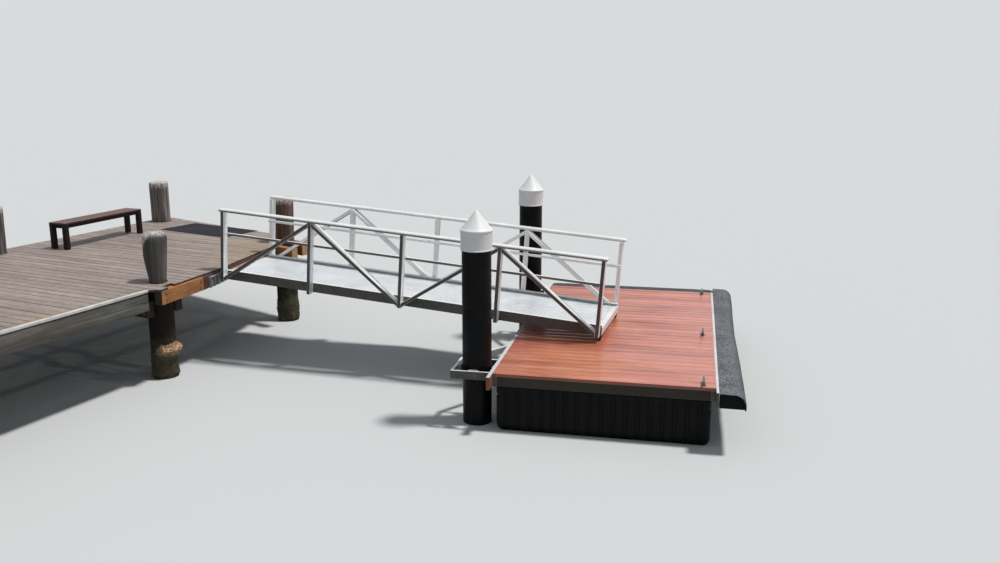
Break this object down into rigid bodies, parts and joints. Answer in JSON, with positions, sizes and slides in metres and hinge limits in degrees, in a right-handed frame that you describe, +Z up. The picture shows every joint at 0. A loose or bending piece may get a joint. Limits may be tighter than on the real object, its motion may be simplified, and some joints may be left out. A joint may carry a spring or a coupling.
{
  "type": "wooden jetty with gangway and floating pontoon",
  "caption": "Timber jetty head on round piles with a bench, an aluminium truss gangway hinged at its edge, and a floating pontoon that slides up guide piles with the tide.",
  "frame": {"origin": "centre of the foot of the right-hand pile at the near end of the gangway landing", "axes": "+X square to the jetty edge that carries the gangway, out towards the pontoon, +Y along the pontoon away from the shore, +Z up"},
  "size_m": [14.0723, 14.8692, 2.623],
  "materials": {
    "timber_weathered": "sun-bleached sawn hardwood boards and beams",
    "timber_pile": "silver-grey cracked round timber",
    "timber_new": "fresh orange-brown sawn hardwood",
    "mat": "dark flat mat",
    "bench_timber": "dark red-brown stained hardwood",
    "galvanised": "galvanised steel",
    "pile_sleeve": "black plastic sleeve",
    "cap_white": "white moulded cap",
    "aluminium_mill": "mill finish welded aluminium",
    "tread": "ribbed aluminium tread",
    "threshold": "worn non-slip paint",
    "toe_shoe": "black wearing pad",
    "pontoon_board": "oiled red hardwood boards",
    "pontoon_joist": "dark treated timber",
    "waler": "dark red-brown hardwood",
    "strip": "white edge trim",
    "fender_carpet": "grey-black weathered marine carpet",
    "float": "black rotomoulded plastic",
    "pad": "pale low-friction plastic",
    "cleat": "cast aluminium"
  },
  "bodies": {
    "jetty": {"piles_right": "timber_pile", "piles_left": "timber_pile", "headstocks": "timber_weathered", "head_headstocks": "timber_new", "girders": "timber_weathered", "edge_beam_right": "timber_weathered", "edge_beam_left": "timber_weathered", "shore_beam": "timber_weathered", "fascia": "timber_new", "hinge_beam": "waler", "deck_head": "timber_weathered", "deck_shore": "timber_weathered", "deck_mat": "mat", "bench_legs": "bench_timber", "bench_rails": "bench_timber", "bench_seat": "bench_timber", "hinge_brackets": "galvanised", "guide_piles": "pile_sleeve", "guide_caps": "cap_white"},
    "gangway": {"chord_near": "aluminium_mill", "chord_far": "aluminium_mill", "truss_posts": "aluminium_mill", "truss_diagonals": "aluminium_mill", "mid_rails": "aluminium_mill", "handrails": "aluminium_mill", "tread_plate": "tread", "cross_members": "aluminium_mill", "hinge_eyes": "galvanised", "threshold_flap": "threshold", "toe_nosing": "aluminium_mill", "toe_shoes": "toe_shoe"},
    "pontoon": {"pontoon_deck": "pontoon_board", "side_frames": "aluminium_mill", "joists": "pontoon_joist", "waler": "waler", "edge_strips": "strip", "fender_right": "fender_carpet", "fender_far": "fender_carpet", "floats": "float", "collar_near": "aluminium_mill", "collar_far": "aluminium_mill", "slide_pads": "pad", "cleats": "cleat"}
  },
  "joints": [
    {"name": "tide_slide", "type": "slide", "parent": "jetty", "child": "pontoon", "axis": [0, 0, 1], "range_m": [0, 0.6]},
    {"name": "gangway_hinge", "type": "hinge", "parent": "jetty", "child": "gangway", "pos_m": [0.52, 1.64, 1.253], "axis": [-0.0872, -0.9962, 0], "range_deg": [0, 6.1]}
  ],
  "couplings": [
    {"joint": "gangway_hinge", "follows": "tide_slide", "rad_per_m": 0.17686}
  ]
}
